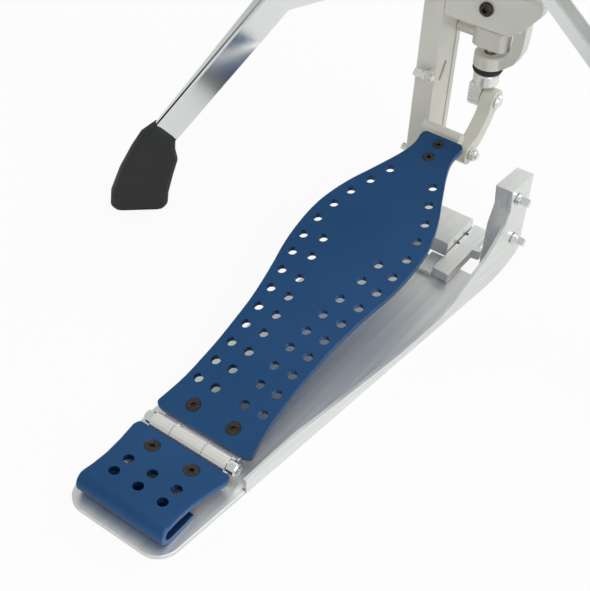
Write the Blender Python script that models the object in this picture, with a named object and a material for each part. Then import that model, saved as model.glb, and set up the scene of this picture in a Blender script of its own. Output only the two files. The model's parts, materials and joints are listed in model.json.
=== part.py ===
"""Hi-hat stand: pedal board, frame, tripod, tubes, pull rod and clutch as separate pieces.

Metres, +Z up, +Y from the player's heel to the toe, +X to the player's right.
The origin is on the floor, on the axis of the vertical tube.
"""
import math

import bmesh
import bpy
from mathutils import Matrix, Vector
from mathutils.geometry import tessellate_polygon

# Driving dimensions, in millimetres
HINGE_Y = -362.0            # pedal hinge, behind the tube axis
HINGE_Z = 13.5
BOARD_ANGLE = 13.87         # rest angle of the long board
BOARD_T = 4.5
HEEL_ANGLE = 5.1
HEEL_TOP_Z = 15.1
ROLL_HALF = 35.2              # half width of the roll at the heel
BASE_T = 3.5
BASE_HALF = 47.2            # half width of the base at the hinge
BASE_TAPER = 0.0895
BASE_LEFT = 45.0              # the left edge runs straight
POST_IN, POST_OUT = 30.0, 47.0
FRAME_FRONT = -29.0         # player-side face of the frame
FRAME_BACK = 4.5
HEAD_LOW, HEAD_TOP = 171.0, 200.0
ROD_R = 3.0
TUBE_R, TUBE_BORE = 14.3, 12.4
TUBE_TOP = 500.0
UPPER_R, UPPER_BORE = 11.0, 9.5
UPPER_TOP = 778.0
UPPER_LOW = TUBE_TOP - 70.0
ROD_LOW, ROD_TOP = 120.9, 955.0
CLUTCH_Z = ROD_TOP - 59.0
LEG_AZIMUTHS = (-138.5, -29.0)
LEG_SLOPE = 53.2
LEG_PIVOT = (34.0, 362.8)   # radius, height
LEG_LENGTH = 362.0
LEG_DEPTH = 20.0
LEG_SHEET = 1.5
LEG_SPLAY = 0.9             # the open edge stands this much wider than the web, each side
# Height, tilt, radius, half length and half width of each ring of the rubber foot
FOOT_SECTIONS = ((62.0, 0.6, 258.0, 13.5, 8.2), (50.0, 0.3, 261.5, 18.5, 9.2),
                 (34.0, 0.1, 268.3, 21.5, 9.8), (14.0, 0.0, 274.8, 23.4, 10.2),
                 (4.0, 0.0, 275.8, 23.4, 10.0), (0.0, 0.0, 275.8, 21.4, 8.4))
STRUT_HALF = 6.0
STRUT_AT = 228.5            # strut pin, along the leg from its pivot
STRUT_PIVOT = (34.0, 219.5)
LOW_EYE = (HINGE_Y + 328.0, 66.4)     # link pivot on the toe block (y, z)
TOP_EYE = (-1.0, 98.4)
CLEAR = 0.3

MATERIALS = {
    "board_blue": ((0.035, 0.13, 0.36), 0.85, 0.32),
    "cast_cream": ((0.62, 0.60, 0.53), 0.35, 0.42),
    "satin_aluminium": ((0.62, 0.62, 0.61), 1.0, 0.34),
    "nickel": ((0.78, 0.76, 0.72), 1.0, 0.22),
    "chrome": ((0.80, 0.81, 0.82), 1.0, 0.08),
    "black_screw": ((0.030, 0.024, 0.020), 0.8, 0.38),
    "black_rubber": ((0.020, 0.020, 0.021), 0.0, 0.7),
    "white_felt": ((0.72, 0.70, 0.66), 0.0, 0.95),
    "spring_steel": ((0.45, 0.46, 0.47), 1.0, 0.3),
}


def clear_scene():
    for thing in list(bpy.data.objects):
        bpy.data.objects.remove(thing, do_unlink=True)


def material(name):
    found = bpy.data.materials.get(name)
    if found:
        return found
    color, metallic, rough = MATERIALS[name]
    made = bpy.data.materials.new(name)
    made.use_nodes = True
    shader = made.node_tree.nodes["Principled BSDF"]
    shader.inputs["Base Color"].default_value = (*color, 1.0)
    shader.inputs["Metallic"].default_value = metallic
    shader.inputs["Roughness"].default_value = rough
    return made


def add(name, bm, mat, sharp=32.0):
    bmesh.ops.recalc_face_normals(bm, faces=bm.faces)
    mesh = bpy.data.meshes.new(name)
    bm.to_mesh(mesh)
    bm.free()
    mesh.materials.append(material(mat))
    mesh.shade_smooth()
    mesh.set_sharp_from_angle(angle=math.radians(sharp))
    thing = bpy.data.objects.new(name, mesh)
    bpy.context.scene.collection.objects.link(thing)
    return thing


def cut(target, tool, operation="DIFFERENCE"):
    tool.hide_render = True
    tool.display_type = "WIRE"
    modifier = target.modifiers.new(tool.name, "BOOLEAN")
    modifier.operation = operation
    modifier.solver = "EXACT"
    modifier.object = tool
    return target


# Placement frames: columns are the directions of u, v, w and the last column is the origin
def frame(u, v, w, at=(0, 0, 0)):
    m = Matrix((u, v, w)).transposed().to_4x4()
    m.translation = Vector(at)
    return m


PLAN = frame((1, 0, 0), (0, 1, 0), (0, 0, 1))
SIDE = frame((0, 1, 0), (0, 0, 1), (1, 0, 0))
FRONT = frame((1, 0, 0), (0, 0, 1), (0, -1, 0))


def to_m(matrix, u, v, w):
    return (matrix @ Vector((u, v, w))) * 0.001


def prism(outline, low, high, matrix=PLAN, holes=()):
    bm = bmesh.new()
    loops = [list(outline)] + [list(h) for h in holes]
    rings = []
    for loop in loops:
        bottom = [bm.verts.new(to_m(matrix, u, v, low)) for u, v in loop]
        top = [bm.verts.new(to_m(matrix, u, v, high)) for u, v in loop]
        rings.append((bottom, top))
        for i in range(len(loop)):
            j = (i + 1) % len(loop)
            bm.faces.new((bottom[i], bottom[j], top[j], top[i]))
    if holes:
        flat = [(k, i) for k, loop in enumerate(loops) for i in range(len(loop))]
        polys = [[Vector((u, v, 0)) for u, v in loop] for loop in loops]
        for tri in tessellate_polygon(polys):
            for side in (0, 1):
                bm.faces.new([rings[flat[n][0]][side][flat[n][1]] for n in tri])
    else:
        bm.faces.new(rings[0][0])
        bm.faces.new(rings[0][1])
    return bm


def revolve(profile, matrix=PLAN, segments=20):
    """Closed profile of (radius, height); a radius of zero becomes one shared vertex."""
    bm = bmesh.new()
    rings = []
    for r, h in profile:
        if r < 1e-6:
            rings.append([bm.verts.new(to_m(matrix, 0, 0, h))] * segments)
        else:
            rings.append([bm.verts.new(to_m(matrix, r * math.cos(a), r * math.sin(a), h))
                          for a in (2 * math.pi * i / segments for i in range(segments))])
    for k in range(len(rings)):
        one, two = rings[k], rings[(k + 1) % len(rings)]
        if one[0] is one[1] and two[0] is two[1]:
            continue
        for i in range(segments):
            j = (i + 1) % segments
            corners = []
            for vert in (one[i], one[j], two[j], two[i]):
                if vert not in corners:
                    corners.append(vert)
            bm.faces.new(corners)
    return bm


def loft(sections, matrix=PLAN):
    """Sections are equal-length loops of (u, v, w) points, capped at both ends."""
    bm = bmesh.new()
    rings = [[bm.verts.new(to_m(matrix, *p)) for p in loop] for loop in sections]
    for one, two in zip(rings, rings[1:]):
        for i in range(len(one)):
            j = (i + 1) % len(one)
            bm.faces.new((one[i], one[j], two[j], two[i]))
    bm.faces.new(rings[0])
    bm.faces.new(rings[-1])
    return bm


def arc(cx, cy, r, start, end, steps):
    return [(cx + r * math.cos(math.radians(start + (end - start) * i / steps)),
             cy + r * math.sin(math.radians(start + (end - start) * i / steps)))
            for i in range(steps + 1)]


def circle(cx, cy, r, steps=12):
    return arc(cx, cy, r, 0, 360, steps)[:-1]


def rounded_box(hu, hv, r, steps=3):
    pts = []
    for cx, cy, a in ((hu - r, hv - r, 0), (r - hu, hv - r, 90), (r - hu, r - hv, 180),
                      (hu - r, r - hv, 270)):
        pts += arc(cx, cy, r, a, a + 90, steps)
    return pts


def square_ring(half, steps=12):
    pts = []
    for i in range(steps):
        a = 2 * math.pi * (i + 0.5) / steps
        c, s = math.cos(a), math.sin(a)
        k = half / max(abs(c), abs(s))
        pts.append((c * k, s * k))
    return pts


def smooth_curve(points, per=3):
    """Catmull-Rom through a list of tuples."""
    out = []
    for i in range(len(points) - 1):
        p0 = points[max(i - 1, 0)]
        p1, p2 = points[i], points[i + 1]
        p3 = points[min(i + 2, len(points) - 1)]
        for k in range(per):
            t = k / per
            out.append(tuple(0.5 * (2 * b + (c - a) * t + (2 * a - 5 * b + 4 * c - d) * t * t
                                    + (3 * b - a - 3 * c + d) * t ** 3)
                             for a, b, c, d in zip(p0, p1, p2, p3)))
    out.append(tuple(points[-1]))
    return out


# Fasteners
def flat_screw(name, at, normal, head=5.2, depth=2.6, length=6.4, shank=2.4):
    up = Vector(normal).normalized()
    side = up.orthogonal().normalized()
    m = frame(side, up.cross(side), up, at)
    profile = [(0, -1.6), (1.7, -1.6), (1.9, -0.1), (head, 0.0), (shank, -depth),
               (shank, -length), (0, -length)]
    return add(name, revolve(profile, m, 14), "black_screw")


def key_bolt(name, at, direction, shank=8.0, flange=4.6, reach=9.0, mat="chrome"):
    """Square-headed bolt; at is the seat of its flange and direction points outward."""
    d = Vector(direction).normalized()
    side = d.orthogonal().normalized()
    m = frame(side, d.cross(side), d, at)
    ring = [(math.cos(2 * math.pi * (i + 0.5) / 12), math.sin(2 * math.pi * (i + 0.5) / 12))
            for i in range(12)]
    spec = ((2.7, -shank), (2.7, 0.25), (flange, 0.25), (flange, 2.4), (3.3, 2.9), (3.3, 4.2))
    sections = [[(c * r, s * r, w) for c, s in ring] for r, w in spec]
    for half, w in ((2.8, 4.4), (2.8, reach), (2.3, reach + 0.5)):
        sections.append([(u, v, w) for u, v in square_ring(half)])
    return add(name, loft(sections, m), mat)


def wing_screw(name, at, direction, shank, span=19.0, up=(0, 0, 1), hub=5.5):
    """Thumb screw: a shank, a round boss and a pair of flat wings in one body."""
    d = Vector(direction).normalized()
    v = Vector(up)
    v = (v - d * v.dot(d)).normalized()
    m = frame(v.cross(d) * -1, v, d, at)
    body = add(name, revolve([(0, -shank), (2.9, -shank), (2.9, 0.3), (hub, 0.3), (hub, 8.0),
                              (hub - 1.5, 10.0), (0, 10.0)], m, 14), "chrome")
    wing = [(-span, 13.0), (-span + 1.5, 18.5), (-span + 6, 19.5), (-4.5, 9.8), (4.5, 9.8),
            (span - 6, 19.5), (span - 1.5, 18.5), (span, 13.0), (7.0, 3.0), (-7.0, 3.0)]
    across = frame(v, d, m.to_3x3().col[0], at)
    tool = add(name + "_wings", prism(wing, -1.6, 1.6, across), "chrome")
    return cut(body, tool, "UNION")


# Pedal board side
def board_width():
    rows = [(14, 39.3), (26, 37.2), (38, 35.6), (55, 34.9), (74, 34.7), (95, 35.6), (112, 36.6),
            (130, 39.0), (148, 42.2), (160, 44.8), (174, 46.9), (187, 47.8), (200, 48.0),
            (212, 47.0), (222, 45.0), (232, 42.2), (244, 37.8), (256, 32.2), (266, 27.8),
            (276, 23.4), (286, 19.6), (294, 17.5), (301, 17.1), (307, 17.9)]
    return smooth_curve(rows, 2)


OUTER_HOLES = ((18.8, 265.4), (25.6, 248.9), (32.3, 232.5), (36.2, 215.5), (38.6, 198.0),
               (38.6, 179.7), (36.3, 162.7), (33.0, 145.2), (30.2, 128.0), (28.0, 110.5),
               (26.4, 93.7), (25.8, 76.4), (25.9, 58.8), (27.2, 41.4))
INNER_HOLES = ((23.9, 184.0), (21.6, 166.0), (17.4, 145.1), (14.8, 128.0), (12.9, 110.7),
               (11.2, 93.8), (10.7, 76.2), (11.5, 59.1), (12.2, 41.0))
BOARD_SCREWS = ((-16.8, 22.9), (16.8, 22.9), (0.0, 290.2), (0.0, 304.6))
HEEL_SCREWS = ((-16.3, -19.2), (16.3, -19.2))
HEEL_HOLES = ((-19.7, -37.4), (0.0, -37.4), (19.7, -37.4), (-19.9, -50.6), (0.0, -50.6),
              (19.9, -50.6))

ba = math.radians(BOARD_ANGLE)
BOARD = frame((1, 0, 0), (0, math.cos(ba), math.sin(ba)), (0, -math.sin(ba), math.cos(ba)),
              (0, HINGE_Y, HINGE_Z))
ha = math.radians(HEEL_ANGLE)
HEEL = frame((1, 0, 0), (0, math.cos(ha), -math.sin(ha)), (0, math.sin(ha), math.cos(ha)),
             (0, HINGE_Y, HEEL_TOP_Z))


def footboard():
    right = [(w, s) for s, w in board_width()]
    outline = [(34.0, 9.6), (37.6, 10.6), (39.2, 12.4)] + right
    outline += [(17.6, 310.6), (15.2, 313.0)]
    outline = outline + [(-w, s) for w, s in reversed(outline)]
    holes = [circle(sx * x, s, 3.7, 10) for x, s in OUTER_HOLES + INNER_HOLES for sx in (-1, 1)]
    holes += [circle(x, s, 2.75, 10) for x, s in BOARD_SCREWS]
    board = add("footboard", prism(outline, -BOARD_T, 0.0, BOARD, holes), "board_blue")
    sink = None
    for i, (x, s) in enumerate(BOARD_SCREWS):
        head = 5.5 if i < 2 else 4.6
        at = BOARD @ Vector((x, s, 0.0))
        m = BOARD.copy()
        m.translation = at
        tool = add("board_sink_%d" % i, revolve([(0, -3.2), (2.75, -3.2), (head, -0.15),
                                                 (head, 1.0), (0, 1.0)], m, 14), "board_blue")
        cut(board, tool)
        sink = tool
    return board, sink


def heel_plate():
    """A plate folded back under itself at the heel; it widens at both ends."""
    rows = [(-7.4, 36.6), (-8.6, 38.2), (-12.0, 39.0), (-19.0, 37.8), (-28.0, 36.2),
            (-42.0, 34.6), (-54.0, 34.6), (-61.5, ROLL_HALF)]
    t = 4.3
    stations = []
    for y, w in rows:
        top = (HEEL @ Vector((0, y, 0))).z
        low = (HEEL @ Vector((0, y, -t))).z
        stations.append(((y, top), (y, low), w))
    cy, cz, ro = -61.5, 12.5, 8.55
    ri = ro - t
    for a in (108, 128, 150, 172, 194, 216, 238, 256, 270):
        c, s = math.cos(math.radians(a)), math.sin(math.radians(a))
        stations.append(((cy + ro * c, cz + ro * s), (cy + ri * c, cz + ri * s), ROLL_HALF))
    stations += [((-52.0, 3.85), (-52.0, 3.85 + t - 0.7), ROLL_HALF - 0.2),
                 ((-39.0, 3.85), (-39.0, 3.85 + t - 1.4), ROLL_HALF - 0.8)]
    sections = []
    for (yo, zo), (yi, zi), w in stations:
        e = 0.9
        sections.append([(w - e, yo + HINGE_Y, zo), (w, yo * 0.8 + yi * 0.2 + HINGE_Y,
                                                    zo * 0.8 + zi * 0.2),
                         (w, yi + HINGE_Y, zi), (-w, yi + HINGE_Y, zi),
                         (-w, yo * 0.8 + yi * 0.2 + HINGE_Y, zo * 0.8 + zi * 0.2),
                         (-w + e, yo + HINGE_Y, zo)])
    plate = add("heel_plate", loft(sections), "board_blue")
    for i, (x, y) in enumerate(HEEL_HOLES):
        m = HEEL.copy()
        m.translation = HEEL @ Vector((x, y, 0.0))
        tool = add("heel_hole_%d" % i, revolve([(0, -6.5), (3.8, -6.5), (3.8, 2), (0, 2)], m, 12),
                   "board_blue")
        cut(plate, tool)
    for i, (x, y) in enumerate(HEEL_SCREWS):
        m = HEEL.copy()
        m.translation = HEEL @ Vector((x, y, 0.0))
        tool = add("heel_sink_%d" % i, revolve([(0, -6.5), (2.75, -6.5), (2.75, -2.9),
                                                (5.6, -0.15), (5.6, 1.0), (0, 1.0)], m, 14),
                   "board_blue")
        cut(plate, tool)
    return plate


def hinge_leaves():
    """Two leaves with interleaved knuckles round one pin."""
    barrel_r, bore = 6.3, 2.9
    # Heel leaf: two outer knuckles, and the plate that lifts it off the base
    low, high = -9.6, -4.6
    m = HEEL.copy()
    drop = HEEL_TOP_Z - HINGE_Z
    plate = [(-7.2, high), (-33.0, high), (-33.0, low + 1.4), (-3.0, low + 2.2)]
    ring = [(barrel_r * math.cos(a), barrel_r * math.sin(a) - drop)
            for a in (math.radians(d) for d in range(-114, 215, 23))]
    heel_outline = [(-7.0, high), (-33.0, high), (-33.0, -10.2), (-2.56, -7.36)] + ring[0:]
    side = frame(m.to_3x3().col[1], m.to_3x3().col[2], (1, 0, 0), m.translation)
    leaf = add("hinge_leaf_heel", prism(heel_outline, -30.6, 31.2, side,
                                        [circle(0, -drop, bore, 12)]), "nickel")
    gap = [(-6.9, -12.0), (9.0, -12.0), (9.0, 9.0), (-6.9, 9.0)]
    cut(leaf, add("leaf_gap_heel", prism(gap, -14.35, 12.35, side), "nickel"))
    for i, (x, y) in enumerate(HEEL_SCREWS):
        mm = HEEL.copy()
        mm.translation = HEEL @ Vector((x, y, 0.0))
        cut(leaf, add("leaf_bore_heel_%d" % i,
                      revolve([(0, -8.2), (2.75, -8.2), (2.75, 1), (0, 1)], mm, 10), "nickel"))
    # Board leaf: the middle knuckle
    side = frame(BOARD.to_3x3().col[1], BOARD.to_3x3().col[2], (1, 0, 0), BOARD.translation)
    ring = [(barrel_r * math.cos(a), barrel_r * math.sin(a))
            for a in (math.radians(d) for d in range(-50, -276, -22))]
    board_outline = [(7.0, -4.8), (34.0, -4.8), (34.0, -7.0), (4.6, -7.0)] + \
                    [(barrel_r * math.cos(math.radians(a)), barrel_r * math.sin(math.radians(a)))
                     for a in range(-62, -310, -22)]
    leaf = add("hinge_leaf_board", prism(board_outline, -30.6, 31.2, side,
                                         [circle(0, 0, bore, 12)]), "nickel")
    gap = [(-9.0, -9.0), (7.6, -9.0), (7.6, 9.0), (-9.0, 9.0)]
    cut(leaf, add("leaf_gap_left", prism(gap, -40.0, -13.95, side), "nickel"))
    cut(leaf, add("leaf_gap_right", prism(gap, 11.95, 40.0, side), "nickel"))
    for i in (0, 1):
        x, s = BOARD_SCREWS[i]
        mm = BOARD.copy()
        mm.translation = BOARD @ Vector((x, s, 0.0))
        cut(leaf, add("leaf_bore_board_%d" % i,
                      revolve([(0, -9), (2.75, -9), (2.75, 1), (0, 1)], mm, 10), "nickel"))
    return plate


def hinge_pin():
    m = frame((0, 1, 0), (0, 0, 1), (1, 0, 0), (0, HINGE_Y, HINGE_Z))
    profile = [(0, -38.0), (3.6, -38.0), (4.7, -37.0), (4.7, -31.2), (2.5, -31.2), (2.5, 31.6),
               (4.7, 31.6), (4.7, 37.4), (3.8, 38.6), (1.6, 38.6), (1.6, 37.2), (0, 37.2)]
    return add("hinge_pin", revolve(profile, m, 16), "chrome")


def base_plate():
    def half(y):
        return BASE_HALF + (BASE_TAPER if y > 0 else 0.0713) * y
    y0, r = -77.0, 16.0
    w0 = half(y0)
    outline = arc(w0 - r, y0 + r, r, -90, -4, 8) + [(half(-3.2), -3.2), (half(-3.0) - 3.0, -3.0)]
    outline += [(half(270) - 3.0, 270.0)]
    outline += [(-BASE_LEFT, 270.0), (-BASE_LEFT, -3.0)]
    outline += [(-x, y) for x, y in reversed(outline[:9])]
    outline = [(x, y + HINGE_Y) for x, y in outline]
    return add("base_plate", prism(outline, 0.0, BASE_T), "satin_aluminium")


def rails():
    def sheared(sign):
        m = Matrix.Identity(4)
        m.col[0] = (sign * BASE_TAPER, 1, 0, 0)
        m.col[1] = (0, 0, 1, 0)
        m.col[2] = (sign, 0, 0, 0)
        m.col[3] = (sign * BASE_HALF, HINGE_Y, 0, 1)
        return m
    top = [(240.6, 22.7), (262.0, 33.5), (274.5, 46.0), (281.0, 56.0), (283.4, 66.0),
           (280.6, 84.2)]
    right = [(-2.6, 0.0), (268.0, 0.0), (286.0, 2.4), (297.0, 6.2), (306.0, 10.2),
             (310.2, 15.0), (309.4, 40.0), (308.8, 86.0)]
    right += list(reversed(top)) + [(222.0, 12.5), (205.5, 8.2), (157.0, 7.4), (133.6, 8.8),
                                    (89.3, 12.0), (48.0, 15.4), (20.0, 14.6), (-2.6, 12.9)]
    rail = add("rail_right", prism(right, -2.6, 0.0, sheared(1)), "satin_aluminium")
    ear = [(308.6, 85.8), (309.3, 40.0), (310.0, 15.0), (305.9, 10.4), (297.0, 6.4),
           (286.0, 2.6), (278.0, 1.6), (278.6, 50.0), (283.6, 66.0), (280.9, 84.1)]
    cut(rail, add("rail_ear", prism(ear, -14.0, -0.4, sheared(1)), "satin_aluminium"), "UNION")
    for i, (y, z) in enumerate(((290.5, 72.8), (296.3, 31.9))):
        m = frame((0, 1, 0), (0, 0, 1), (1, 0, 0), (60.0, y + HINGE_Y, z))
        cut(rail, add("ear_bore_%d" % i, revolve([(0, -20), (3.0, -20), (3.0, 30), (0, 30)], m, 12),
                      "satin_aluminium"))
    for name, y, z in (("ear_bolt_upper", 290.5, 72.8), ("ear_bolt_lower", 296.3, 31.9)):
        x = BASE_HALF + BASE_TAPER * y + 0.45
        key_bolt(name, (x, y + HINGE_Y, z), (1, 0, 0), shank=12.0)


def front_blocks():
    at = HINGE_Y
    block = [(-29.6, 272.0), (32.4, 272.0), (32.4, 312.4), (-29.6, 312.4)]
    body = add("front_block", prism([(x, y + at) for x, y in block], 3.8, 20.0), "satin_aluminium")
    slot = [(16.0, 0), (33.5, 0), (33.5, 3.4), (16.0, 3.4)]
    slot = [(u, 3.8 + v) for u, v in slot]
    cut(body, add("front_slot", prism(slot, 84.0, 96.0, FRONT), "satin_aluminium"))
    clamp = [(32.8, 249.0), (47.2, 248.0), (46.9, 283.6), (46.9, 286.6), (53.0, 287.6),
             (53.0, 293.4), (46.9, 292.8), (46.0, 316.0), (32.8, 316.0), (32.8, 303.0),
             (35.0, 302.6), (35.0, 300.4), (32.8, 300.0), (32.8, 289.0), (35.0, 288.6),
             (35.0, 286.4), (32.8, 286.0)]
    add("clamp_block", prism([(x, y + at) for x, y in clamp], 3.8, 12.2), "satin_aluminium")
    lower = [(20.0, 247.0), (32.4, 247.6), (32.4, 271.6), (20.0, 271.6)]
    add("lower_step", prism([(x, y + at) for x, y in lower], 3.8, 7.0), "satin_aluminium")


# Frame
def post():
    """The left upright, with a foot running back beside the front block."""
    side = frame((0, 1, 0), (0, 0, 1), (-1, 0, 0), (0, 0, 0))
    outline = [(-72.0, 0.0), (FRAME_BACK, 0.0), (FRAME_BACK, HEAD_TOP - CLEAR),
               (FRAME_FRONT, HEAD_TOP - CLEAR), (FRAME_FRONT, 40.0), (-36.0, 27.0),
               (-44.0, 22.0), (-72.0, 22.0)]
    body = add("post", prism(outline, POST_IN, POST_OUT, side), "cast_cream")
    slot = frame((0, 0.406, 0.914), (0, 0.914, -0.406), (-1, 0, 0), (0, -16.4, 118.0))
    pill = arc(5.6, 0, 2.1, -90, 90, 6) + arc(-7.2, 0, 2.1, 90, 270, 6)
    cut(body, add("post_slot", prism(pill, POST_IN - 3, POST_OUT + 3, slot), "cast_cream"))
    groove = [(-4.0, 1.2), (-4.0, 170.0), (-1.4, 168.0), (-1.4, 3.0)]
    cut(body, add("post_groove", prism(groove, POST_IN - 2, POST_IN + 1.0, side), "cast_cream"))
    bore = frame((0, 1, 0), (0, 0, 1), (-1, 0, 0), (0, -18.0, 35.0))
    cut(body, add("post_bore", revolve([(0, 36), (3.0, 36), (3.0, 60), (0, 60)], bore, 12),
                  "cast_cream"))
    key_bolt("post_bolt", (-POST_OUT, -18.0, 35.0), (-1, 0, 0), shank=9.0)
    post_clamp(body)


def post_clamp(body):
    """Key bolt lying across the player-side face, held by a small lug of the post."""
    side = frame((0, 1, 0), (0, 0, 1), (-1, 0, 0), (0, 0, 0))
    lug = arc(-34.6, 118.5, 4.6, 90, 270, 8) + [(-28.0, 113.9), (-28.0, 123.1)]
    cut(body, add("post_lug", prism(lug, POST_IN + 0.4, POST_IN + 3.6, side), "cast_cream"),
        "UNION")
    bore = frame((0, 1, 0), (0, 0, 1), (-1, 0, 0), (0, -34.6, 118.5))
    cut(body, add("post_lug_bore", revolve([(0, 28), (3.0, 28), (3.0, 35), (0, 35)], bore, 12),
                  "cast_cream"))
    key_bolt("post_clamp_bolt", (-POST_IN - 3.6, -34.6, 118.5), (-1, 0, 0), shank=5.0,
             flange=4.4, reach=11.0, mat="nickel")


def head():
    """Plate between post and tube: player-side face, socket block and right-hand chamfer."""
    face = [(-POST_IN + CLEAR, HEAD_LOW), (25.5, HEAD_LOW), (36.0, 180.5), (46.5, 194.2),
            (46.5, 200.6), (45.0, 202.0), (-45.5, 202.0), (-POST_OUT, 200.6),
            (-POST_OUT, HEAD_TOP), (-POST_IN + CLEAR, HEAD_TOP)]
    body = add("head", prism(face, -FRAME_FRONT - 9.0, -FRAME_FRONT, FRONT), "cast_cream")
    block = add("head_block", prism([(-29.5, -22.0), (29.5, -22.0), (29.5, 10.0), (18.0, 22.0),
                                     (-18.0, 22.0), (-29.5, 10.0)], 172.0, HEAD_TOP - 0.4),
                "cast_cream")
    cut(body, block, "UNION")
    cut(body, add("head_bore", revolve([(0, 160), (4.2, 160), (4.2, 260), (0, 260)], PLAN, 16),
                  "cast_cream"))
    m = frame((1, 0, 0), (0, 0, 1), (0, -1, 0), (4.3, FRAME_FRONT, 186.6))
    profile = [(0, 1.4), (2.2, 1.4), (2.2, 3.4), (4.0, 3.4), (5.4, 2.2), (5.6, 0.3), (0, 0.3)]
    add("head_screw", revolve(profile, m, 16), "black_screw")


def guide_arm():
    """Ring round the pull rod, carried by a hooked arm from the head block."""
    arm = [(8.0, 127.0), (14.5, 129.0), (22.5, 136.0), (27.0, 146.0), (28.0, 156.0),
           (28.0, 170.6), (18.6, 170.6), (18.4, 156.0), (17.9, 147.0), (15.9, 142.2),
           (12.0, 138.6), (7.0, 137.0)]
    body = add("guide_arm", prism(arm, -5.5, 5.5, FRONT), "cast_cream")
    ring = revolve([(5.0, 126.6), (12.2, 126.6), (12.2, 136.6), (11.0, 137.4), (5.0, 137.4)],
                   PLAN, 24)
    cut(body, add("guide_ring", ring, "cast_cream"), "UNION")
    cut(body, add("guide_bore", revolve([(0, 120), (5.0, 120), (5.0, 145), (0, 145)], PLAN, 24),
                  "cast_cream"))


def cross_arm():
    """Round bar from the post to a boss the pull rod runs through."""
    m = frame((0, 1, 0), (0, 0, 1), (1, 0, 0), (0, 0, 150.0))
    bar = add("cross_arm", revolve([(0, -POST_IN + CLEAR), (4.3, -POST_IN + CLEAR), (4.3, -10),
                                    (0, -10)], m, 16), "cast_cream")
    boss = arc(-8.0, 0, 8.0, 90, 270, 8) + arc(7.2, 0, 8.0, -90, 90, 8)
    cut(bar, add("cross_boss", prism(boss, 142.6, 157.4), "cast_cream"), "UNION")
    cut(bar, add("cross_bore", revolve([(0, 130), (3.6, 130), (3.6, 170), (0, 170)], PLAN, 16),
                 "cast_cream"))


# Toe linkage
def toe_block():
    side = frame((0, 1, 0), (0, 0, 1), (1, 0, 0), (0, 0, 0))
    s1, s2 = 282.0, 311.0
    p = [BOARD @ Vector((0, s, -BOARD_T - CLEAR)) for s in (s1, s2)]
    low = [BOARD @ Vector((0, s, -BOARD_T - 11.0)) for s in (s1 + 4, s2 - 8)]
    ly, lz = LOW_EYE
    outline = [(p[0].y, p[0].z), (low[0].y, low[0].z), (low[1].y, low[1].z),
               (ly - 8.0, lz - 3.0)] + arc(ly, lz, 8.2, 200, 395, 8) + \
              [(p[1].y + 8.0, p[1].z - 1.5), (p[1].y, p[1].z)]
    body = add("toe_block", prism(outline, -9.0, 1.6, side), "cast_cream")
    m = frame((0, 1, 0), (0, 0, 1), (1, 0, 0), (0, LOW_EYE[0] - 10.5, LOW_EYE[1] + 15.6))
    barrel = add("toe_barrel", revolve([(0, -26.0), (5.2, -26.0), (5.2, 8.0), (0, 8.0)], m, 18),
                 "cast_cream")
    cut(body, barrel, "UNION")
    for i in (2, 3):
        x, s = BOARD_SCREWS[i]
        mm = BOARD.copy()
        mm.translation = BOARD @ Vector((x, s, 0.0))
        cut(body, add("toe_bore_%d" % i, revolve([(0, -10), (2.5, -10), (2.5, 1), (0, 1)], mm, 10),
                      "cast_cream"))
    eye = frame((0, 1, 0), (0, 0, 1), (1, 0, 0), (0, ly, lz))
    cut(body, add("toe_eye", revolve([(0, -12), (3.3, -12), (3.3, 4), (0, 4)], eye, 14),
                  "cast_cream"))
    profile = [(0, -11.6), (4.6, -11.6), (4.6, -9.4), (3.0, -9.4), (3.0, 13.6), (5.0, 13.6),
               (5.0, 17.6), (3.0, 17.8), (3.0, 19.6), (0, 19.6)]
    add("low_pin", revolve(profile, eye, 12), "nickel")


def link_arm():
    (y0, z0), (y1, z1) = LOW_EYE, TOP_EYE
    side = frame((0, 1, 0), (0, 0, 1), (1, 0, 0), (0, 0, 0))
    d = Vector((y1 - y0, z1 - z0))
    length = d.length
    d.normalize()
    n = Vector((-d.y, d.x))

    def pt(a, b):
        return (y0 + d.x * a + n.x * b, z0 + d.y * a + n.y * b)
    r, bow = 9.4, -3.4
    right = [pt(length * t, bow * 4 * t * (1 - t) - 6.2) for t in (0.28, 0.4, 0.5, 0.6, 0.72)]
    left = [pt(length * t, bow * 4 * t * (1 - t) + 6.0) for t in (0.28, 0.4, 0.5, 0.6, 0.72)]
    base = math.degrees(math.atan2(d.y, d.x))
    outline = arc(y0, z0, r, base + 50, base + 310, 12) + right + \
        arc(y1, z1, r, base - 130, base + 130, 12) + list(reversed(left))
    holes = [circle(y0, z0, 4.0, 14), circle(y1, z1, 4.0, 14)]
    return add("link_arm", prism(outline, 2.0, 13.0, side, holes), "cast_cream")


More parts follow.
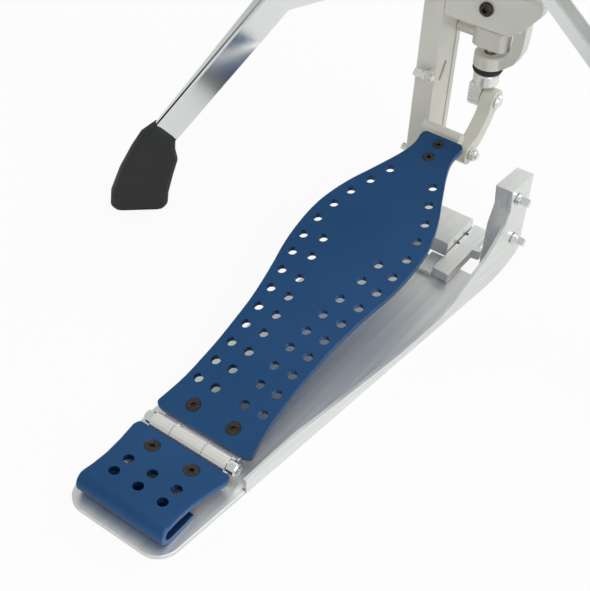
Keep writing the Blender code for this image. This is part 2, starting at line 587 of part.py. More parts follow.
def coupler():
    body = add("coupler", revolve([(3.0, 109.5), (8.8, 109.5), (10.4, 111.5), (10.4, 119.2),
                                   (9.6, 120.4), (3.0, 120.4)], PLAN, 24), "nickel")
    cheek = arc(TOP_EYE[0], TOP_EYE[1], 9.0, 180, 360, 8) + [(8.0, 112.0), (-10.0, 112.0)]
    side = frame((0, 1, 0), (0, 0, 1), (1, 0, 0), (0, 0, 0))
    cut(body, add("coupler_cheek", prism(cheek, -8.6, 1.6, side), "nickel"), "UNION")
    eye = frame((0, 1, 0), (0, 0, 1), (1, 0, 0), (0, TOP_EYE[0], TOP_EYE[1]))
    cut(body, add("coupler_eye", revolve([(0, -12), (3.3, -12), (3.3, 4), (0, 4)], eye, 14),
                  "nickel"))
    profile = [(0, -8.4), (3.0, -8.4), (3.0, 13.4), (5.6, 13.4), (5.6, 14.6), (4.2, 16.2),
               (0, 16.2)]
    add("top_pin", revolve(profile, eye, 14), "chrome")
    bumper = [(9.4 + 2.7 * math.cos(a), 123.6 + 2.7 * math.sin(a))
              for a in (2 * math.pi * i / 8 for i in range(8))]
    add("bumper", revolve(bumper, PLAN, 24), "black_rubber")


def pull_rod():
    add("pull_rod", revolve([(0, ROD_LOW), (ROD_R, ROD_LOW), (ROD_R, ROD_TOP - 1.5),
                             (ROD_R - 1.0, ROD_TOP), (0, ROD_TOP)], PLAN, 14), "chrome")
    add("spring_seat", revolve([(ROD_R + 0.2, 300.0), (11.0, 300.0), (11.0, 304.0),
                                (6.5, 305.0), (6.5, 314.0), (ROD_R + 0.2, 314.0)], PLAN, 18),
        "nickel")


def return_spring():
    turns, radius, wire, low, high = 10, 8.6, 1.3, 201.9, 298.4
    steps, sides = 10, 5
    total = turns * steps
    sections = []
    for i in range(total + 1):
        f = i / total
        a = 2 * math.pi * turns * f
        z = low + (high - low) * f
        sections.append([((radius + wire * math.cos(b)) * math.cos(a),
                          (radius + wire * math.cos(b)) * math.sin(a), z + wire * math.sin(b))
                         for b in (2 * math.pi * k / sides for k in range(sides))])
    add("return_spring", loft(sections), "spring_steel")


# Tripod
def leg_frame(azimuth, radius, height, slope):
    """u runs out and down the member, v is its outer normal, w is tangential."""
    a, s = math.radians(azimuth), math.radians(slope)
    out = Vector((math.cos(a), math.sin(a), 0))
    u = out * math.cos(s) - Vector((0, 0, math.sin(s)))
    v = out * math.sin(s) + Vector((0, 0, math.cos(s)))
    return frame(u, v, v.cross(u) * -1, out * radius + Vector((0, 0, height)))


def hub_outline(inner, outer, reach, half):
    """A ring with one tongue for each leg."""
    pts = []
    spread = math.degrees(math.asin(half / outer))
    turned = sorted(LEG_AZIMUTHS)
    for az, nxt in zip(turned, turned[1:] + [turned[0] + 360.0]):
        c, s = math.cos(math.radians(az)), math.sin(math.radians(az))
        for u, v in ((outer * 0.9, -half), (reach, -half), (reach, half), (outer * 0.9, half)):
            pts.append((u * c - v * s, u * s + v * c))
        steps = max(4, int((nxt - az) / 20.0))
        pts += arc(0, 0, outer, az + spread + 6, nxt - spread - 6, steps)
    return pts, [circle(0, 0, inner, 24)]


def collars():
    outline, holes = hub_outline(TUBE_R + CLEAR, 22.0, 38.5, STRUT_HALF - 1.8)
    low = add("strut_collar", prism(outline, STRUT_PIVOT[1] - 12.5, STRUT_PIVOT[1] + 7.5, PLAN,
                                          holes), "chrome")
    outline, holes = hub_outline(TUBE_R + CLEAR, 22.5, 38.5, 9.8)
    top = add("hub", prism(outline, LEG_PIVOT[1] - 11.8, LEG_PIVOT[1] + 5.2, PLAN, holes), "chrome")
    for i, az in enumerate(LEG_AZIMUTHS):
        for body, (r, z), tag in ((low, STRUT_PIVOT, "low"), (top, LEG_PIVOT, "top")):
            a = math.radians(az)
            out = Vector((math.cos(a), math.sin(a), 0))
            tang = Vector((-math.sin(a), math.cos(a), 0))
            m = frame(out, Vector((0, 0, 1)), tang, out * r + Vector((0, 0, z)))
            cut(body, add("collar_bore_%s_%d" % (tag, i),
                          revolve([(0, -16), (3.3, -16), (3.3, 16), (0, 16)], m, 10), "chrome"))
    a = math.radians(LEG_AZIMUTHS[1] + 110)
    d = Vector((math.cos(a), math.sin(a), 0))
    side = Vector((-math.sin(a), math.cos(a), 0))
    m = frame(side, Vector((0, 0, 1)), d, d * 22.0 + Vector((0, 0, LEG_PIVOT[1] - 3.3)))
    cut(top, add("hub_screw_bore", revolve([(0, -12), (3.3, -12), (3.3, 8), (0, 8)], m, 12),
                 "chrome"))
    wing_screw("hub_wing_screw", d * 22.6 + Vector((0, 0, LEG_PIVOT[1] - 3.3)), d, shank=6.5)


def leg_width(a):
    return 30.0 - 0.055 * a


def leg(index, azimuth):
    """A pressed channel, open toward the tube, that narrows toward its foot."""
    m = leg_frame(azimuth, LEG_PIVOT[0], LEG_PIVOT[1], LEG_SLOPE)
    sections = []
    for a in (-12.0, -7.0, 0.0, LEG_LENGTH - 5.0, LEG_LENGTH):
        w, t = leg_width(max(a, 0.0)) / 2, LEG_SHEET
        top = LEG_DEPTH / 2
        low = -LEG_DEPTH / 2 if a > -7 else (-7.0 if a > -12 else -2.0)
        e, f = w + LEG_SPLAY, w - LEG_SPLAY
        sections.append([(a, low, -e), (a, top - 2.4, -f), (a, top - 0.7, -f + 0.7),
                         (a, top, -f + 2.4), (a, top, f - 2.4), (a, top - 0.7, f - 0.7),
                         (a, top - 2.4, f), (a, low, e), (a, low, e - t), (a, top - t, f - t),
                         (a, top - t, -f + t), (a, low, -e + t)])
    body = add("leg_%d" % index, loft(sections, m), "chrome")
    for k, (a, half) in enumerate(((0.0, leg_width(0) / 2 + 1.4),
                                   (STRUT_AT, leg_width(STRUT_AT) / 2 - 0.6))):
        mm = frame(m.to_3x3().col[0], m.to_3x3().col[1], m.to_3x3().col[2],
                   m @ Vector((a, 0, 0)))
        cut(body, add("leg_pin_%d_%d" % (index, k),
                      revolve([(0, -half), (3.0, -half), (3.0, half), (0, half)], mm, 10),
                      "chrome"), "UNION")
    return body


def strut(index, azimuth):
    """A narrow channel, open upward, from the collar into the channel of its leg."""
    r0, z0 = STRUT_PIVOT
    leg_m = leg_frame(azimuth, LEG_PIVOT[0], LEG_PIVOT[1], LEG_SLOPE)
    joint = leg_m @ Vector((STRUT_AT, 0, 0))
    a = math.radians(azimuth)
    r1 = joint.x * math.cos(a) + joint.y * math.sin(a)
    slope = math.degrees(math.atan2(z0 - joint.z, r1 - r0))
    length = math.hypot(z0 - joint.z, r1 - r0)
    m = leg_frame(azimuth, r0, z0, slope)
    side = [(0, -5.6), (length, -5.6)] + arc(length, 0, 6.4, -60, 60, 5) + \
        [(length, 5.0), (0, 5.0)] + arc(0, 0, 6.4, 120, 240, 5)
    half, gap = STRUT_HALF, STRUT_HALF - 1.4
    body = add("strut_%d" % index, prism(side, -half, half, m), "chrome")
    inner = [(-20.0, -4.0), (length - 10.0, -4.0), (length + 12.0, -4.0), (length + 12.0, 9.0),
             (-20.0, 9.0)]
    cut(body, add("strut_inner_%d" % index, prism(inner, -gap, gap, m), "chrome"))
    near = [(-12.0, -9.0), (14.0, -9.0), (14.0, -3.0), (-12.0, -3.0)]
    cut(body, add("strut_near_%d" % index, prism(near, -gap, gap, m), "chrome"))
    far = m.copy()
    far.translation = m @ Vector((length, 0, 0))
    cut(body, add("strut_hole_%d" % index,
                  revolve([(0, -15), (4.2, -15), (4.2, 15), (0, 15)], far, 10), "chrome"))
    pin = half + 1.2
    cut(body, add("strut_pin_%d" % index,
                  revolve([(0, -pin), (3.0, -pin), (3.0, pin), (0, pin)], m, 10), "chrome"),
        "UNION")
    return body


def rubber_foot(index, azimuth):
    """A long oval foot that carries on from the leg and spreads outward to its sole."""
    a = math.radians(azimuth)
    out = Vector((math.cos(a), math.sin(a), 0))
    tang = Vector((-math.sin(a), math.cos(a), 0))
    m = frame(out, tang, (0, 0, 1))
    leg_m = leg_frame(azimuth, LEG_PIVOT[0], LEG_PIVOT[1], LEG_SLOPE)
    end = leg_m @ Vector((LEG_LENGTH + CLEAR, 0, 0))
    r_end = end.dot(out)
    s = math.radians(LEG_SLOPE)
    sections = []
    for k, hu, hv in ((0.0, LEG_DEPTH / 2 + 0.6, leg_width(LEG_LENGTH) / 2 + 2.0),
                      (3.0, LEG_DEPTH / 2 + 1.0, leg_width(LEG_LENGTH) / 2 + 2.9)):
        sections.append([(r_end + k * math.cos(s) + u * math.sin(s), v,
                          end.z - k * math.sin(s) + u * math.cos(s))
                         for u, v in rounded_box(hu, hv, 5.0, 3)])
    for z, tilt, r, hu, hv in FOOT_SECTIONS:
        sections.append([(r + u, v, z + tilt * u) for u, v in rounded_box(hu, hv, 7.0, 3)])
    return add("foot_%d" % index, loft(sections, m), "black_rubber")


# Tubes, seat and clutch
def tubes():
    add("main_tube", revolve([(TUBE_BORE, HEAD_TOP + 0.1), (TUBE_R, HEAD_TOP + 0.1),
                              (TUBE_R, TUBE_TOP), (TUBE_BORE, TUBE_TOP)], PLAN, 32), "chrome")
    add("upper_tube", revolve([(UPPER_BORE, UPPER_LOW), (UPPER_R, UPPER_LOW),
                               (UPPER_R, UPPER_TOP), (UPPER_BORE, UPPER_TOP)], PLAN, 28),
        "chrome")
    t = TUBE_TOP
    body = add("height_clamp", revolve([(TUBE_R + 0.2, t - 26.0), (19.5, t - 26.0),
                                        (20.5, t - 24.0), (20.5, t + 6.0), (18.5, t + 9.0),
                                        (UPPER_R + 0.4, t + 9.0), (UPPER_R + 0.4, t + 0.4),
                                        (TUBE_R + 0.2, t + 0.4)], PLAN, 24), "chrome")
    lug = [(TUBE_R + 0.3, -8.5), (31.0, -8.5), (31.0, 8.5), (TUBE_R + 0.3, 8.5)]
    cut(body, add("height_lug", prism(lug, t - 22.0, t), "chrome"), "UNION")
    cut(body, add("height_core", revolve([(0, t - 30), (TUBE_R + 0.2, t - 30),
                                          (TUBE_R + 0.2, t + 0.4), (0, t + 0.4)], PLAN, 24),
                  "chrome"))
    slit = [(12.0, -1.2), (34.0, -1.2), (34.0, 1.2), (12.0, 1.2)]
    cut(body, add("height_slit", prism(slit, t - 30.0, t + 12.0), "chrome"))
    m = frame((1, 0, 0), (0, 0, 1), (0, -1, 0), (25.5, 0, t - 11.0))
    cut(body, add("height_bore", revolve([(0, -12), (3.3, -12), (3.3, 12), (0, 12)], m, 12),
                  "chrome"))
    wing_screw("height_wing_screw", (25.5, -8.5, t - 11.0), (0, -1, 0), shank=16.0)


def cymbal_seat():
    """A cup with a spigot in the upper tube, a felt on it and a tilt screw in its lug."""
    u = UPPER_TOP
    cup = add("seat_cup", revolve([(4.8, u - 6.0), (UPPER_BORE - 0.6, u - 6.0),
                                   (UPPER_BORE - 0.6, u + 0.4), (UPPER_R, u + 0.6),
                                   (12.0, u + 2.6), (12.8, u + 6.0), (16.0, u + 10.0),
                                   (28.0, u + 12.0), (29.0, u + 14.5), (27.5, u + 16.0),
                                   (9.0, u + 16.0), (9.0, u + 24.0), (4.8, u + 24.0)], PLAN, 24),
              "chrome")
    lug = [(12.0, u + 3.0), (36.0, u + 3.0), (36.0, u + 9.6), (12.0, u + 9.6)]
    cut(cup, add("seat_lug", prism(lug, -5.5, 5.5, FRONT), "chrome"), "UNION")
    cut(cup, add("seat_lug_bore", revolve([(0, u - 8), (2.7, u - 8), (2.7, u + 10), (0, u + 10)],
                                          frame((1, 0, 0), (0, 1, 0), (0, 0, 1), (31.5, 0, 0)),
                                          12), "chrome"))
    cut(cup, add("seat_core", revolve([(0, u - 8), (4.8, u - 8), (4.8, u + 32), (0, u + 32)],
                                      PLAN, 24), "chrome"))
    add("seat_felt", revolve([(9.4, u + 16.3), (20.0, u + 16.3), (21.0, u + 18.5),
                              (21.0, u + 25.5), (19.5, u + 28.0), (9.4, u + 28.0)], PLAN, 24),
        "white_felt")
    m = frame((1, 0, 0), (0, -1, 0), (0, 0, -1), (31.5, 0, u + 2.7))
    add("tilt_screw", revolve([(0, -10.0), (2.4, -10.0), (2.4, 0.3), (6.5, 0.3), (7.0, 1.2),
                               (7.0, 6.4), (6.0, 7.2), (0, 7.2)], m, 14), "chrome")


def clutch():
    z = CLUTCH_Z
    body = add("clutch_body", revolve([(3.4, z - 40), (6.0, z - 40), (6.0, z + 2), (9.5, z + 3),
                                       (9.5, z + 26), (8.5, z + 28), (3.4, z + 28)], PLAN, 20),
               "chrome")
    m = frame((0, 1, 0), (0, 0, 1), (1, 0, 0), (9.0, 0, z + 15.0))
    cut(body, add("clutch_bore", revolve([(0, -5.3), (3.3, -5.3), (3.3, 4), (0, 4)], m, 12),
                  "chrome"))
    wing_screw("clutch_wing_screw", (9.8, 0, z + 15.0), (1, 0, 0), shank=5.6, span=15.0)
    add("clutch_nut", revolve([(6.3, z - 10), (10.0, z - 10), (11.0, z - 9), (11.0, z - 3),
                               (10.0, z - 2), (6.3, z - 2)], PLAN, 18), "chrome")
    add("clutch_felt_upper", revolve([(6.3, z - 19), (15.0, z - 19), (16.0, z - 18),
                                      (16.0, z - 11.6), (15.0, z - 10.4), (6.3, z - 10.4)],
                                     PLAN, 22), "white_felt")
    add("clutch_felt_lower", revolve([(6.3, z - 30), (15.0, z - 30), (16.0, z - 29),
                                      (16.0, z - 22.6), (15.0, z - 21.4), (6.3, z - 21.4)],
                                     PLAN, 22), "white_felt")
    add("clutch_lower_nut", revolve([(6.3, z - 39), (9.0, z - 39), (11.0, z - 38),
                                     (11.0, z - 31.4), (10.0, z - 30.4), (6.3, z - 30.4)],
                                    PLAN, 18), "chrome")


def build():
    clear_scene()
    base_plate()
    rails()
    front_blocks()
    heel_plate()
    hinge_leaves()
    hinge_pin()
    footboard()
    for name, (x, s) in zip(("board_screw_left", "board_screw_right", "toe_screw_rear",
                             "toe_screw_front"), BOARD_SCREWS):
        big = s < 100
        flat_screw(name, BOARD @ Vector((x, s, -0.15)), BOARD.to_3x3().col[2],
                   head=5.1 if big else 4.2, length=6.8 if big else 8.6,
                   shank=2.4 if big else 2.1)
    for name, (x, y) in zip(("heel_screw_left", "heel_screw_right"), HEEL_SCREWS):
        flat_screw(name, HEEL @ Vector((x, y, -0.15)), HEEL.to_3x3().col[2], head=5.2)
    toe_block()
    link_arm()
    coupler()
    pull_rod()
    return_spring()
    post()
    head()
    guide_arm()
    cross_arm()
    collars()
    for i, azimuth in enumerate(LEG_AZIMUTHS, 1):
        leg(i, azimuth)
        strut(i, azimuth)
        rubber_foot(i, azimuth)
    tubes()
    cymbal_seat()
    clutch()


build()
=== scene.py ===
# %% [markdown]
# # Hi-hat stand: from a CAD model to a studio picture
# The solids arrive from the CAD step as a fixed frame. This script gives each of
# them a finish, rounds the sharp edges of the pieces that are seen close up, and
# sets up the camera, the floor and the light. Run it cell by cell in Blender's
# text editor, and watch what each one prints.

# %% Imports and the frame
import json
import math

import bmesh
import bpy
from mathutils import Matrix, Vector

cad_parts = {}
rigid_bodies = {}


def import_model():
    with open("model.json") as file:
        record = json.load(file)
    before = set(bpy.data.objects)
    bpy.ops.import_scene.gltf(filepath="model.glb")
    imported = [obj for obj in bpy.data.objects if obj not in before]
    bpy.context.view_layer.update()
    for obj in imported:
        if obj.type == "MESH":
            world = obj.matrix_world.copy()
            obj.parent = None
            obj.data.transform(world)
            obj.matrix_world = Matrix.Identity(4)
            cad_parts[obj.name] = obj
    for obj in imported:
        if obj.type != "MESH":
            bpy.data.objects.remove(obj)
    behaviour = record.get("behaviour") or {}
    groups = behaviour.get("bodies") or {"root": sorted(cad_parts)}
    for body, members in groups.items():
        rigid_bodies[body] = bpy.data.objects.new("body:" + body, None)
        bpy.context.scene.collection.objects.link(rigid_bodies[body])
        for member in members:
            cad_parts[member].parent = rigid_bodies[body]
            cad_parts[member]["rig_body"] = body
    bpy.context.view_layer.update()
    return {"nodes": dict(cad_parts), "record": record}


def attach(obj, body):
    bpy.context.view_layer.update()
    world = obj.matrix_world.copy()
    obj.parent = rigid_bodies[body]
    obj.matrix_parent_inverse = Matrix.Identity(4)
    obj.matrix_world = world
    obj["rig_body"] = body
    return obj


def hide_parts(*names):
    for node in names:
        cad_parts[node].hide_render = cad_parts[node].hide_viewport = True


for thing in list(bpy.data.objects):
    bpy.data.objects.remove(thing)
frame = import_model()
nodes = frame["nodes"]

# %% [markdown]
# ## The camera
# The camera comes first, so every later choice can be judged through it. Its
# place and its three directions were found by matching straight edges of the
# pedal in the picture to the same edges of the model.

# %% Camera
CAMERA_AT = Vector((0.3129886, -0.7129030, 0.5697492))
CAMERA_RIGHT = Vector((0.8078627516, 0.5882180185, 0.0368420591))
CAMERA_UP = Vector((-0.4182152312, 0.5280896090, 0.7390652104))
CAMERA_BACK = Vector((0.4152755650, -0.6124711647, 0.6726256593))
SENSOR_MM = 36.0
FOCAL_PX = 1113.5155    # focal length, measured in pixels of the picture
LONG_SIDE_PX = 591      # the picture's longer side
CLIP_NEAR, CLIP_FAR = 0.01, 100.0

camera = bpy.data.objects.new("camera", bpy.data.cameras.new("camera"))
bpy.context.scene.collection.objects.link(camera)
turn = Matrix((CAMERA_RIGHT, CAMERA_UP, CAMERA_BACK)).transposed()
camera.matrix_world = Matrix.Translation(CAMERA_AT) @ turn.to_4x4()
camera.data.sensor_width = SENSOR_MM
camera.data.lens = FOCAL_PX / LONG_SIDE_PX * SENSOR_MM
camera.data.clip_start, camera.data.clip_end = CLIP_NEAR, CLIP_FAR
bpy.context.scene.camera = camera
print("lens:", round(camera.data.lens, 2), "mm")


# %% [markdown]
# ## Materials
# Every finish is built from nodes. One helper starts a Principled shader, and
# short helpers add what a real surface has: a colour that varies a little, a
# grain that catches the light, and roughness that isn't the same everywhere.
# Pictures of metal could be wrapped round the pieces instead, but noise in
# object coordinates needs no unwrapping and has no seams.

# %% Start a material
def new_material(name, color, metallic, roughness, **sockets):
    """A Principled material. Extra sockets are given by name with _ for spaces."""
    mat = bpy.data.materials.new(name)
    mat.use_nodes = True
    shader = mat.node_tree.nodes["Principled BSDF"]
    shader.inputs["Base Color"].default_value = (*color, 1.0)
    shader.inputs["Metallic"].default_value = metallic
    shader.inputs["Roughness"].default_value = roughness
    for key, value in sockets.items():
        shader.inputs[key.replace("_", " ")].default_value = value
    return mat, mat.node_tree.nodes, mat.node_tree.links, shader


# %% Noise, and what it drives
RAMP_ENDS = 0.32, 0.68      # the middle of the noise, where most of its values lie
SPREAD_ENDS = 0.3, 0.7      # the same for the roughness, a little wider


def object_noise(tree_nodes, links, scale, stretch=(1, 1, 1), detail=4.0,
                 roughness=0.55):
    """Noise in object coordinates, stretched to make a grain run one way."""
    place = tree_nodes.new("ShaderNodeTexCoord")
    mapping = tree_nodes.new("ShaderNodeMapping")
    mapping.inputs["Scale"].default_value = stretch
    noise = tree_nodes.new("ShaderNodeTexNoise")
    noise.inputs["Scale"].default_value = scale
    noise.inputs["Detail"].default_value = detail
    noise.inputs["Roughness"].default_value = roughness
    links.new(place.outputs["Object"], mapping.inputs["Vector"])
    links.new(mapping.outputs["Vector"], noise.inputs["Vector"])
    return noise


def vary_color(tree_nodes, links, shader, noise, dark, light):
    """Lets the noise pick a colour between two close ones."""
    ramp = tree_nodes.new("ShaderNodeValToRGB")
    for stop, position, color in zip(ramp.color_ramp.elements, RAMP_ENDS, (dark, light)):
        stop.position, stop.color = position, (*color, 1)
    links.new(noise.outputs["Fac"], ramp.inputs["Fac"])
    links.new(ramp.outputs["Color"], shader.inputs["Base Color"])


def vary_roughness(tree_nodes, links, shader, noise, low, high):
    """Lets the noise move the roughness between two values."""
    spread = tree_nodes.new("ShaderNodeMapRange")
    spread.inputs["From Min"].default_value = SPREAD_ENDS[0]
    spread.inputs["From Max"].default_value = SPREAD_ENDS[1]
    spread.inputs["To Min"].default_value = low
    spread.inputs["To Max"].default_value = high
    links.new(noise.outputs["Fac"], spread.inputs["Value"])
    links.new(spread.outputs["Result"], shader.inputs["Roughness"])


def add_bump(tree_nodes, links, shader, noise, strength, distance):
    """Lets the noise tilt the surface a little, as fine grain does."""
    bump = tree_nodes.new("ShaderNodeBump")
    bump.inputs["Strength"].default_value = strength
    bump.inputs["Distance"].default_value = distance
    links.new(noise.outputs["Fac"], bump.inputs["Height"])
    links.new(bump.outputs["Normal"], shader.inputs["Normal"])


print("camera and material helpers are ready")

# %% [markdown]
# ## Blue board
# The foot plates are aluminium with a blue anodised skin: a metal's mirror under
# a tint, blurred by very fine grain. Paint could be copied with a clear coat, but
# anodising has no coat of its own, so a tinted metal is closer.

# %% Blue anodising
def make_blue_anodised():
    mat, n, l, s = new_material("board_blue", (0.022, 0.088, 0.235), 0.78, 0.34)
    broad = object_noise(n, l, 9.0, detail=2.0)
    vary_color(n, l, s, broad, (0.019, 0.080, 0.215), (0.027, 0.099, 0.255))
    grain = object_noise(n, l, 1400.0, detail=2.0)
    vary_roughness(n, l, s, grain, 0.33, 0.42)
    add_bump(n, l, s, grain, 0.12, 0.0001)
    return mat


# %% [markdown]
# ## Cast frame
# The upright, head and arms are castings with a pale, warm finish that looks
# half like metal and half like lacquer. A part-metallic shader with a thin coat
# gives both, and a weak bump stands for the slight orange peel of a casting.

# %% Pale casting
def make_cream_cast():
    mat, n, l, s = new_material("cast_cream", (0.74, 0.72, 0.66), 0.25, 0.38,
                                Coat_Weight=0.25, Coat_Roughness=0.2)
    broad = object_noise(n, l, 14.0, detail=2.0)
    vary_color(n, l, s, broad, (0.70, 0.68, 0.61), (0.79, 0.77, 0.71))
    peel = object_noise(n, l, 420.0, detail=2.0)
    vary_roughness(n, l, s, peel, 0.32, 0.45)
    add_bump(n, l, s, peel, 0.08, 0.0002)
    return mat


# %% [markdown]
# ## Base and blocks
# The base is rolled aluminium, and its grain runs from heel to toe. The noise is
# stretched along that direction until it turns into long streaks, which is
# simpler than turning the reflection itself with an anisotropic shader.

# %% Satin aluminium
def make_satin_aluminium():
    mat, n, l, s = new_material("satin_aluminium", (0.84, 0.84, 0.83), 0.8, 0.38)
    streak = object_noise(n, l, 220.0, (1.0, 0.012, 1.0), 5.0, 0.7)
    vary_color(n, l, s, streak, (0.80, 0.805, 0.80), (0.90, 0.90, 0.89))
    vary_roughness(n, l, s, streak, 0.33, 0.45)
    add_bump(n, l, s, streak, 0.05, 0.0002)
    return mat


# %% [markdown]
# ## Bright metals
# Bolts and the coupler are nickel, tubes and legs are chrome, and the return
# spring is bare steel. They differ in tint and in how sharply they mirror, so
# each has its own roughness range on the same kind of shader.

# %% Nickel, chrome and spring steel
def make_nickel():
    mat, n, l, s = new_material("nickel", (0.92, 0.90, 0.87), 0.7, 0.3)
    fine = object_noise(n, l, 600.0, detail=3.0)
    vary_roughness(n, l, s, fine, 0.22, 0.34)
    return mat


def make_chrome():
    mat, n, l, s = new_material("chrome", (0.86, 0.875, 0.865), 1.0, 0.08)
    smear = object_noise(n, l, 30.0, detail=3.0)
    vary_roughness(n, l, s, smear, 0.06, 0.13)
    return mat


def make_spring_steel():
    mat, n, l, s = new_material("spring_steel", (0.62, 0.62, 0.61), 1.0, 0.3)
    fine = object_noise(n, l, 300.0, detail=3.0)
    vary_roughness(n, l, s, fine, 0.22, 0.4)
    return mat


# %% [markdown]
# ## Black pieces
# The countersunk screws have a brown-black oxide skin over steel, so they stay
# metallic. The feet and the bumper are rubber: no metal, high roughness and a
# light grain. Pure black would hide their shape, so both stay just above it.

# %% Screws and rubber
def make_black_screw():
    mat, n, l, s = new_material("black_screw", (0.05, 0.042, 0.038), 0.8, 0.36)
    fine = object_noise(n, l, 500.0, detail=3.0)
    vary_color(n, l, s, fine, (0.035, 0.03, 0.028), (0.085, 0.068, 0.06))
    vary_roughness(n, l, s, fine, 0.28, 0.45)
    return mat


def make_black_rubber():
    mat, n, l, s = new_material("black_rubber", (0.014, 0.014, 0.015), 0.0, 0.6)
    fine = object_noise(n, l, 900.0, detail=4.0)
    vary_color(n, l, s, fine, (0.011, 0.011, 0.012), (0.02, 0.02, 0.021))
    vary_roughness(n, l, s, fine, 0.5, 0.72)
    add_bump(n, l, s, fine, 0.2, 0.0002)
    return mat


# %% [markdown]
# ## Felt
# The cymbal washers are pressed wool felt. Hairs could be grown on them, but at
# this size a rough shader with some sheen and a strong fine bump is enough.

# %% Felt
def make_white_felt():
    mat, n, l, s = new_material("white_felt", (0.83, 0.81, 0.76), 0.0, 0.95,
                                Sheen_Weight=0.4)
    fibre = object_noise(n, l, 700.0, detail=8.0, roughness=0.8)
    vary_color(n, l, s, fibre, (0.72, 0.70, 0.65), (0.90, 0.88, 0.84))
    add_bump(n, l, s, fibre, 0.8, 0.0006)
    return mat


# %% [markdown]
# ## One finish for each piece
# The CAD record says which finish every piece has. The CAD pieces are never
# moved or reshaped here: only the material in their slot is put in place.

# %% Put the finishes on
finishes = {
    "board_blue": make_blue_anodised(),
    "cast_cream": make_cream_cast(),
    "satin_aluminium": make_satin_aluminium(),
    "nickel": make_nickel(),
    "chrome": make_chrome(),
    "black_screw": make_black_screw(),
    "black_rubber": make_black_rubber(),
    "white_felt": make_white_felt(),
    "spring_steel": make_spring_steel(),
}
slot_of = {row["node"]: row["material_slot"] for row in frame["record"]["subparts"]}
for name, node in nodes.items():
    node.data.materials.clear()
    node.data.materials.append(finishes[slot_of[name]])
print("finishes:", ", ".join(sorted(finishes)))

# %% [markdown]
# ## Softened edges
# CAD solids have razor edges, and a real machined or cast edge never is one: it
# has a small radius that catches the light. For each metal piece a copy is made,
# its flat triangles are joined back into whole faces, and its sharp edges get a
# narrow bevel. The copy then stands for the CAD node, which is no longer shown.

# %% Softening helper
FLAT_DEGREES = 0.6      # faces closer in direction than this are one flat face
SHARP_DEGREES = 28.0    # edges that turn more than this are bevelled
MERGE_M = 2e-6          # corners closer than this are one corner
ROUND_STEPS = 2         # strips of faces across each rounded edge


def soft_copy(node_name, width):
    """A copy of a CAD node with its sharp edges rounded to a small width."""
    source = nodes[node_name]
    bm = bmesh.new()
    bm.from_mesh(source.data)
    bmesh.ops.remove_doubles(bm, verts=bm.verts, dist=MERGE_M)
    bmesh.ops.dissolve_limit(bm, angle_limit=math.radians(FLAT_DEGREES),
                             verts=bm.verts, edges=bm.edges)
    sharp = [e for e in bm.edges if e.is_manifold
             and e.calc_face_angle(0.0) > math.radians(SHARP_DEGREES)]
    bmesh.ops.bevel(bm, geom=sharp, offset=width, offset_type="OFFSET",
                    segments=ROUND_STEPS, profile=0.5, affect="EDGES",
                    clamp_overlap=True, material=-1)
    mesh = bpy.data.meshes.new(node_name + "_soft")
    bm.to_mesh(mesh)
    bm.free()
    mesh.shade_smooth()
    piece = bpy.data.objects.new(node_name + "_soft", mesh)
    bpy.context.scene.collection.objects.link(piece)
    normals = piece.modifiers.new("even_normals", "WEIGHTED_NORMAL")
    normals.keep_sharp = True
    mesh.materials.append(finishes[slot_of[node_name]])
    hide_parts(node_name)
    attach(piece, source["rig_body"])
    return piece


# %% Softened pieces
SOFT_EDGES_MM = {
    "footboard": 0.5, "heel_plate": 0.5, "base_plate": 0.6, "rail_right": 0.5,
    "post": 0.9, "head": 1.0, "guide_arm": 0.7, "cross_arm": 0.9, "toe_block": 0.7,
    "link_arm": 0.6, "front_block": 0.5, "clamp_block": 0.5, "lower_step": 0.5,
    "strut_collar": 0.8, "hub": 0.8, "strut_1": 0.4, "strut_2": 0.4, "coupler": 0.4,
}
for node_name, edge_mm in SOFT_EDGES_MM.items():
    piece = soft_copy(node_name, edge_mm / 1000)
    print(piece.name, len(piece.data.polygons), "faces")

# %% [markdown]
# ## Floor
# The picture's background is nearly white, with hardly a shadow. A pale floor
# lit by lamps alone would come out grey, so the camera sees mostly plain white
# there, while light that bounces off it still sees a matt pale surface.

# %% Floor
FLOOR_WHITE = 0.9   # share of plain white in what the camera sees of the floor
FLOOR_HALF = 6.0    # metres from the middle to each side
FLOOR_Z = -0.0002   # just under the soles, so that the faces never coincide
FLOOR_PALE = (0.86, 0.86, 0.86)


def stage_floor():
    """A flat square floor."""
    mesh = bpy.data.meshes.new("floor")
    bm = bmesh.new()
    half = FLOOR_HALF
    corners = [bm.verts.new((x, y, FLOOR_Z)) for x, y in
               ((-half, -half), (half, -half), (half, half), (-half, half))]
    bm.faces.new(corners)
    bm.to_mesh(mesh)
    bm.free()
    floor = bpy.data.objects.new("floor", mesh)
    bpy.context.scene.collection.objects.link(floor)
    mat, n, l, s = new_material("floor", FLOOR_PALE, 0.0, 0.9,
                                Specular_IOR_Level=0.0)
    glow = n.new("ShaderNodeEmission")
    glow.inputs["Strength"].default_value = 1.0
    path = n.new("ShaderNodeLightPath")
    share = n.new("ShaderNodeMath")
    share.operation = "MULTIPLY"
    share.inputs[1].default_value = FLOOR_WHITE
    pick = n.new("ShaderNodeMixShader")
    l.new(path.outputs["Is Camera Ray"], share.inputs[0])
    l.new(share.outputs["Value"], pick.inputs["Fac"])
    l.new(s.outputs["BSDF"], pick.inputs[1])
    l.new(glow.outputs["Emission"], pick.inputs[2])
    l.new(pick.outputs["Shader"], n["Material Output"].inputs["Surface"])
    mesh.materials.append(mat)


stage_floor()
print("floor:", 2 * FLOOR_HALF, "m across")

# %% [markdown]
# ## Lights
# The shadows in the picture are very soft, so the lamps are large rectangles. The
# strongest stands high behind the right side, one fills from the front right, and
# one from behind draws the edges of the frame.

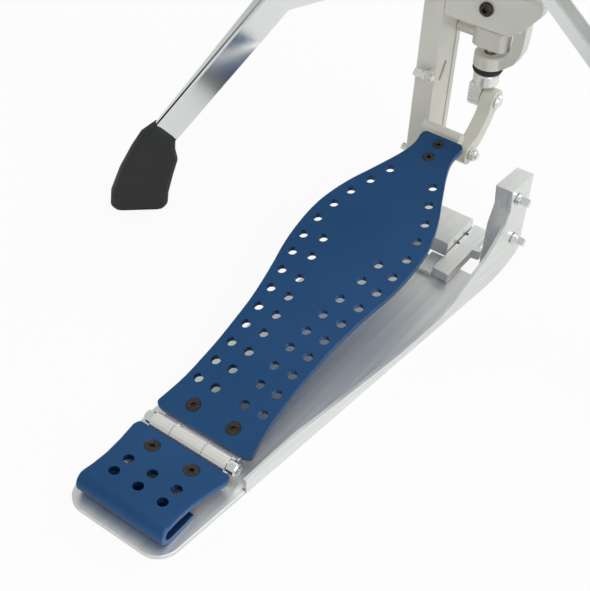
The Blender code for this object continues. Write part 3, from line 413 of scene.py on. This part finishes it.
# %% Lights
MIDDLE = Vector((0.0, -0.2, 0.15))      # the point that every lamp faces
LAMPS = {                               # place in metres, size in metres, watts
    "key": ((0.9, 0.3, 2.1), (1.8, 1.8), 19),
    "fill": ((1.9, -1.0, 1.1), (1.2, 1.6), 9),
    "back": ((0.4, 2.1, 1.5), (2.0, 1.2), 8),
}
for name, (at, size, power) in LAMPS.items():
    data = bpy.data.lights.new(name, "AREA")
    data.shape = "RECTANGLE"
    data.size, data.size_y = size
    data.energy = power
    lamp = bpy.data.objects.new(name, data)
    bpy.context.scene.collection.objects.link(lamp)
    lamp.location = at
    lamp.rotation_euler = (MIDDLE - Vector(at)).to_track_quat("-Z", "Y").to_euler()
print("lights:", ", ".join(LAMPS))

# %% [markdown]
# ## The room that metal mirrors
# Metal shows what surrounds it. The world is a soft grey for reflections, with one
# dark patch near the horizon on the left, which darkens the chrome there, and plain
# white where the camera looks straight at it.

# %% World helpers
def map_range(n, l, source, low, high, to_low=0.0, to_high=1.0):
    """Maps a socket's values from low..high to to_low..to_high, held at the ends."""
    node = n.new("ShaderNodeMapRange")
    node.interpolation_type = "SMOOTHSTEP"
    for key, value in (("From Min", low), ("From Max", high), ("To Min", to_low),
                       ("To Max", to_high)):
        node.inputs[key].default_value = value
    l.new(source, node.inputs["Value"])
    return node.outputs["Result"]


def multiply(n, l, first, second):
    """The product of two sockets."""
    node = n.new("ShaderNodeMath")
    node.operation = "MULTIPLY"
    l.new(first, node.inputs[0])
    l.new(second, node.inputs[1])
    return node.outputs["Value"]


# %% World
ROOM_STRENGTH = 0.62
ROOM_PALE, ROOM_DARK = (0.92, 0.95, 0.93, 1), (0.012, 0.013, 0.014, 1)
DARK_LEFT = -0.45, -0.8     # the patch grows from none to full between these X values
DARK_LOW = -0.35, -0.12     # and upwards between these Z values
DARK_HIGH = 0.34, 0.12      # and downwards between these


def studio_world():
    """Soft grey for reflections, with a dark side near the horizon on the left."""
    world = bpy.data.worlds.new("studio")
    bpy.context.scene.world = world
    world.use_nodes = True
    n, l = world.node_tree.nodes, world.node_tree.links
    room = n["Background"]
    room.inputs["Strength"].default_value = ROOM_STRENGTH
    seen = n.new("ShaderNodeBackground")
    seen.inputs["Color"].default_value = (1, 1, 1, 1)
    place = n.new("ShaderNodeTexCoord")
    split = n.new("ShaderNodeSeparateXYZ")
    l.new(place.outputs["Generated"], split.inputs["Vector"])
    left = map_range(n, l, split.outputs["X"], *DARK_LEFT)
    below = map_range(n, l, split.outputs["Z"], *DARK_LOW)
    above = map_range(n, l, split.outputs["Z"], *DARK_HIGH)
    dark = multiply(n, l, multiply(n, l, below, above), left)
    ramp = n.new("ShaderNodeValToRGB")
    stops = ramp.color_ramp.elements
    stops[0].position, stops[0].color = 0.0, ROOM_PALE
    stops[1].position, stops[1].color = 1.0, ROOM_DARK
    l.new(dark, ramp.inputs["Fac"])
    l.new(ramp.outputs["Color"], room.inputs["Color"])
    path = n.new("ShaderNodeLightPath")
    pick = n.new("ShaderNodeMixShader")
    l.new(path.outputs["Is Camera Ray"], pick.inputs["Fac"])
    l.new(room.outputs["Background"], pick.inputs[1])
    l.new(seen.outputs["Background"], pick.inputs[2])
    l.new(pick.outputs["Shader"], n["World Output"].inputs["Surface"])


studio_world()
bpy.context.scene.view_settings.view_transform = "Standard"
print("view:", bpy.context.scene.view_settings.view_transform)
